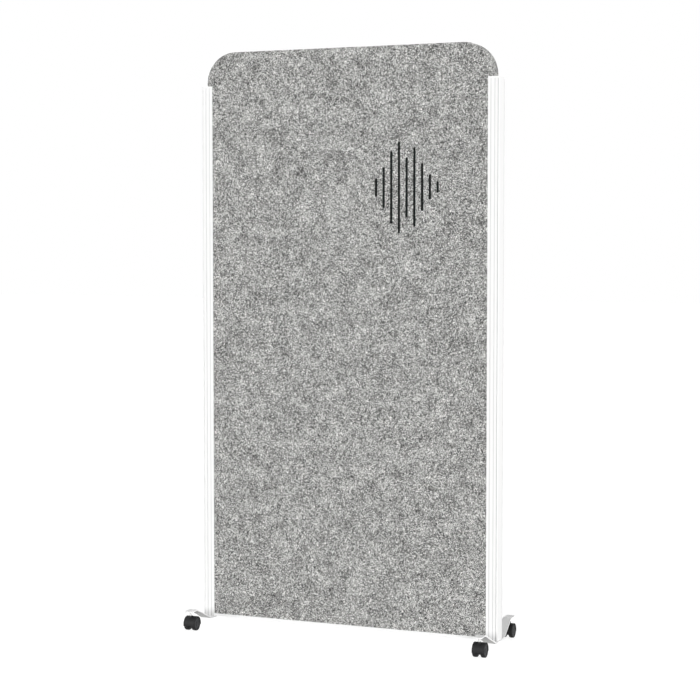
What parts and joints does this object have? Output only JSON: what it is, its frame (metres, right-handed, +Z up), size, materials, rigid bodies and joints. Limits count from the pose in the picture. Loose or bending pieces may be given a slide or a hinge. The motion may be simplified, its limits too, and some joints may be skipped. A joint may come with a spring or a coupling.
{
  "type": "acoustic divider screen",
  "caption": "Free-standing felt-faced acoustic screen with rounded top corners, held between fluted white posts on bent steel feet with swivelling twin-wheel casters.",
  "frame": {"origin": "on the floor, under the middle of the panel", "axes": "+X along the panel to the right as seen from the front, +Y from the front to the back, +Z up"},
  "size_m": [1.036, 0.35, 1.9],
  "materials": {
    "face_felt": "matte pressed felt in light and dark grey fibres",
    "edge_felt": "matte felt band, same fibres as the faces",
    "acoustic_core": "soft sound-absorbing fibre slab",
    "timber": "planed softwood",
    "board": "cut wood board",
    "coated_aluminium": "white powder coat, matte",
    "coated_steel": "white powder coat, matte",
    "white_plastic": "moulded, satin",
    "grey_rubber": "matte",
    "zinc_steel": "bright zinc plating",
    "black_nylon": "moulded, satin",
    "wheel_nylon": "moulded, satin",
    "tyre_rubber": "soft tread, matte",
    "mark_print": "thin printed mark, matte"
  },
  "bodies": {
    "root": {"front_felt": "face_felt", "back_felt": "face_felt", "edge_felt": "edge_felt", "lower_core": "acoustic_core", "upper_core": "acoustic_core", "bottom_batten": "timber", "mid_batten": "timber", "top_batten": "timber", "left_stile": "timber", "right_stile": "timber", "left_corner_block": "board", "right_corner_block": "board", "left_post": "coated_aluminium", "right_post": "coated_aluminium", "left_post_cap": "white_plastic", "right_post_cap": "white_plastic", "bottom_rail": "coated_aluminium", "left_rail_pad": "grey_rubber", "right_rail_pad": "grey_rubber", "left_foot": "coated_steel", "right_foot": "coated_steel", "post_bolts": "zinc_steel", "panel_screws": "zinc_steel", "stem_rings": "zinc_steel", "front_left_stem": "zinc_steel", "front_right_stem": "zinc_steel", "rear_left_stem": "zinc_steel", "rear_right_stem": "zinc_steel"},
    "front_left_caster": {"front_left_hood": "black_nylon", "front_left_axle": "zinc_steel"},
    "front_left_inner_roller": {"front_left_inner_wheel": "wheel_nylon", "front_left_inner_tyre": "tyre_rubber"},
    "front_left_outer_roller": {"front_left_outer_wheel": "wheel_nylon", "front_left_outer_tyre": "tyre_rubber"},
    "front_right_caster": {"front_right_hood": "black_nylon", "front_right_axle": "zinc_steel"},
    "front_right_inner_roller": {"front_right_inner_wheel": "wheel_nylon", "front_right_inner_tyre": "tyre_rubber"},
    "front_right_outer_roller": {"front_right_outer_wheel": "wheel_nylon", "front_right_outer_tyre": "tyre_rubber"},
    "rear_left_caster": {"rear_left_hood": "black_nylon", "rear_left_axle": "zinc_steel"},
    "rear_left_inner_roller": {"rear_left_inner_wheel": "wheel_nylon", "rear_left_inner_tyre": "tyre_rubber"},
    "rear_left_outer_roller": {"rear_left_outer_wheel": "wheel_nylon", "rear_left_outer_tyre": "tyre_rubber"},
    "rear_right_caster": {"rear_right_hood": "black_nylon", "rear_right_axle": "zinc_steel"},
    "rear_right_inner_roller": {"rear_right_inner_wheel": "wheel_nylon", "rear_right_inner_tyre": "tyre_rubber"},
    "rear_right_outer_roller": {"rear_right_outer_wheel": "wheel_nylon", "rear_right_outer_tyre": "tyre_rubber"}
  },
  "joints": [
    {"name": "front_left_swivel", "type": "hinge", "parent": "root", "child": "front_left_caster", "pos_m": [-0.498, -0.156, 0.04], "axis": [0, 0, 1], "continuous": true},
    {"name": "front_left_inner_roll", "type": "hinge", "parent": "front_left_caster", "child": "front_left_inner_roller", "pos_m": [-0.4847, -0.147, 0.022], "axis": [1, 0, 0], "continuous": true},
    {"name": "front_left_outer_roll", "type": "hinge", "parent": "front_left_caster", "child": "front_left_outer_roller", "pos_m": [-0.5113, -0.147, 0.022], "axis": [1, 0, 0], "continuous": true},
    {"name": "front_right_swivel", "type": "hinge", "parent": "root", "child": "front_right_caster", "pos_m": [0.498, -0.156, 0.04], "axis": [0, 0, 1], "continuous": true},
    {"name": "front_right_inner_roll", "type": "hinge", "parent": "front_right_caster", "child": "front_right_inner_roller", "pos_m": [0.4847, -0.147, 0.022], "axis": [1, 0, 0], "continuous": true},
    {"name": "front_right_outer_roll", "type": "hinge", "parent": "front_right_caster", "child": "front_right_outer_roller", "pos_m": [0.5113, -0.147, 0.022], "axis": [1, 0, 0], "continuous": true},
    {"name": "rear_left_swivel", "type": "hinge", "parent": "root", "child": "rear_left_caster", "pos_m": [-0.498, 0.156, 0.04], "axis": [0, 0, 1], "continuous": true},
    {"name": "rear_left_inner_roll", "type": "hinge", "parent": "rear_left_caster", "child": "rear_left_inner_roller", "pos_m": [-0.4847, 0.147, 0.022], "axis": [1, 0, 0], "continuous": true},
    {"name": "rear_left_outer_roll", "type": "hinge", "parent": "rear_left_caster", "child": "rear_left_outer_roller", "pos_m": [-0.5113, 0.147, 0.022], "axis": [1, 0, 0], "continuous": true},
    {"name": "rear_right_swivel", "type": "hinge", "parent": "root", "child": "rear_right_caster", "pos_m": [0.498, 0.156, 0.04], "axis": [0, 0, 1], "continuous": true},
    {"name": "rear_right_inner_roll", "type": "hinge", "parent": "rear_right_caster", "child": "rear_right_inner_roller", "pos_m": [0.4847, 0.147, 0.022], "axis": [1, 0, 0], "continuous": true},
    {"name": "rear_right_outer_roll", "type": "hinge", "parent": "rear_right_caster", "child": "rear_right_outer_roller", "pos_m": [0.5113, 0.147, 0.022], "axis": [1, 0, 0], "continuous": true}
  ]
}
